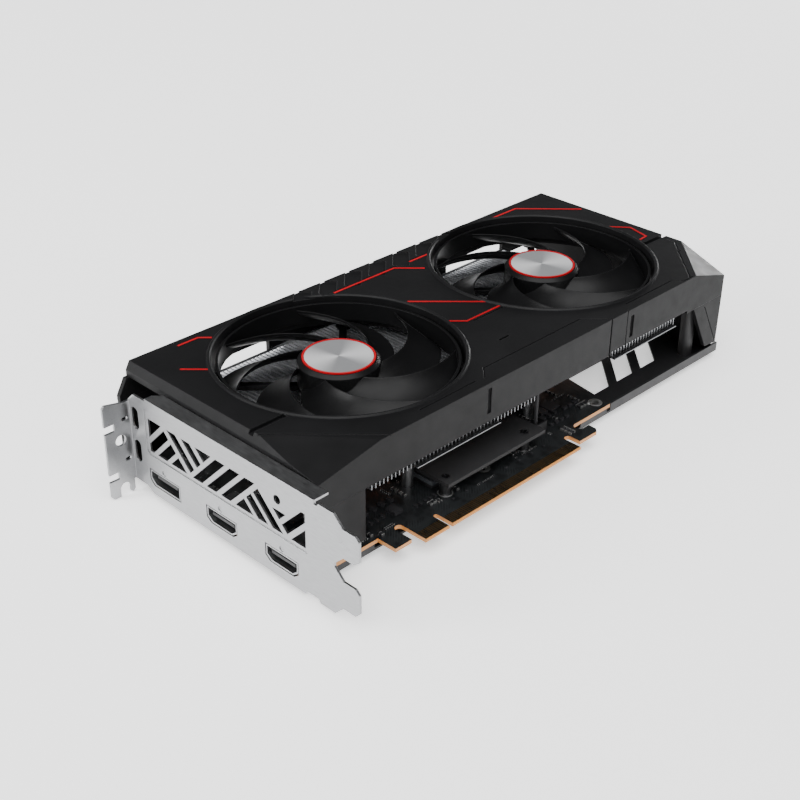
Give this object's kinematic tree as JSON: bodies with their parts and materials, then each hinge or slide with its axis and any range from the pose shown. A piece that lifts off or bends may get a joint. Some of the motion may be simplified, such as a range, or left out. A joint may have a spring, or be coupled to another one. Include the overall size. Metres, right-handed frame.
{
  "type": "graphics card",
  "caption": "Dual-fan graphics card with a slotted bracket, edge connector, finned cooler under a faceted shroud, and a backplate.",
  "frame": {"origin": "where the slot bracket's outer face, the edge connector's lower edge line and the board's component face meet", "axes": "+X from the bracket to the card's tail, +Y up the card away from the connector, +Z out of the component face, the way the fans face"},
  "size_m": [0.2542, 0.1297, 0.0477],
  "materials": {
    "accent_red": "satin",
    "backplate_coat": "satin",
    "badge_metal": "brushed",
    "board_green": "satin",
    "bronze": "satin",
    "can_aluminium": "satin",
    "chip_epoxy": "matte",
    "connector_plastic": "matte",
    "contact_gold": "bright",
    "copper": "satin",
    "fan_plastic": "satin",
    "ferrite": "matte",
    "fin_aluminium": "satin",
    "lead_sleeve": "matte",
    "magnet": "matte",
    "package_laminate": "satin",
    "plate_coat": "matte",
    "plated_steel": "bright",
    "screw_steel": "satin",
    "shroud_plastic": "matte",
    "silicon": "polished",
    "solder_mask": "satin",
    "spring_steel": "bright",
    "stator_enamel": "satin",
    "thermal_pad": "matte"
  },
  "bodies": {
    "card": {"accent_stripes": "accent_red", "backplate": "backplate_coat", "backplate_screws": "screw_steel", "bracket_screws": "plated_steel", "capacitor_cans": "can_aluminium", "chip_components": "chip_epoxy", "circuit_board": "solder_mask", "controller_chips": "chip_epoxy", "cooler_base": "copper", "cooler_screws": "screw_steel", "cooler_springs": "spring_steel", "displayport_shell": "plated_steel", "edge_contacts": "contact_gold", "fan_headers": "connector_plastic", "fan_screws": "screw_steel", "front_bearing": "bronze", "front_driver_board": "board_green", "front_fan_frame": "fan_plastic", "front_fan_lead": "lead_sleeve", "front_fin_stack": "fin_aluminium", "front_stator": "stator_enamel", "hdmi_shells": "plated_steel", "heat_pipes": "copper", "io_side_skirt": "shroud_plastic", "memory_chips": "chip_epoxy", "memory_heat_plate": "plate_coat", "memory_thermal_pads": "thermal_pad", "plate_screws": "screw_steel", "power_heat_plate": "fin_aluminium", "power_inductors": "ferrite", "power_inlet": "connector_plastic", "power_inlet_pins": "contact_gold", "power_stages": "chip_epoxy", "power_thermal_pads": "thermal_pad", "processor_die": "silicon", "processor_package": "package_laminate", "rear_bearing": "bronze", "rear_driver_board": "board_green", "rear_fan_frame": "fan_plastic", "rear_fan_lead": "lead_sleeve", "rear_fin_stack": "fin_aluminium", "rear_stator": "stator_enamel", "shroud": "shroud_plastic", "slot_bracket": "plated_steel", "socket_tongues": "connector_plastic", "standoff_posts": "plated_steel", "tail_leg": "shroud_plastic", "tail_post": "plate_coat"},
    "front_fan_rotor": {"front_impeller": "fan_plastic", "front_magnet_ring": "magnet", "front_rotor_yoke": "plated_steel", "front_shaft": "spring_steel", "front_hub_badge": "badge_metal", "front_hub_ring": "accent_red"},
    "rear_fan_rotor": {"rear_impeller": "fan_plastic", "rear_magnet_ring": "magnet", "rear_rotor_yoke": "plated_steel", "rear_shaft": "spring_steel", "rear_hub_badge": "badge_metal", "rear_hub_ring": "accent_red"}
  },
  "joints": [
    {"name": "front_fan_spin", "type": "hinge", "parent": "card", "child": "front_fan_rotor", "pos_m": [0.0675, 0.0665, 0.03], "axis": [0, 0, 1], "continuous": true},
    {"name": "rear_fan_spin", "type": "hinge", "parent": "card", "child": "rear_fan_rotor", "pos_m": [0.1845, 0.0665, 0.03], "axis": [0, 0, 1], "continuous": true}
  ]
}
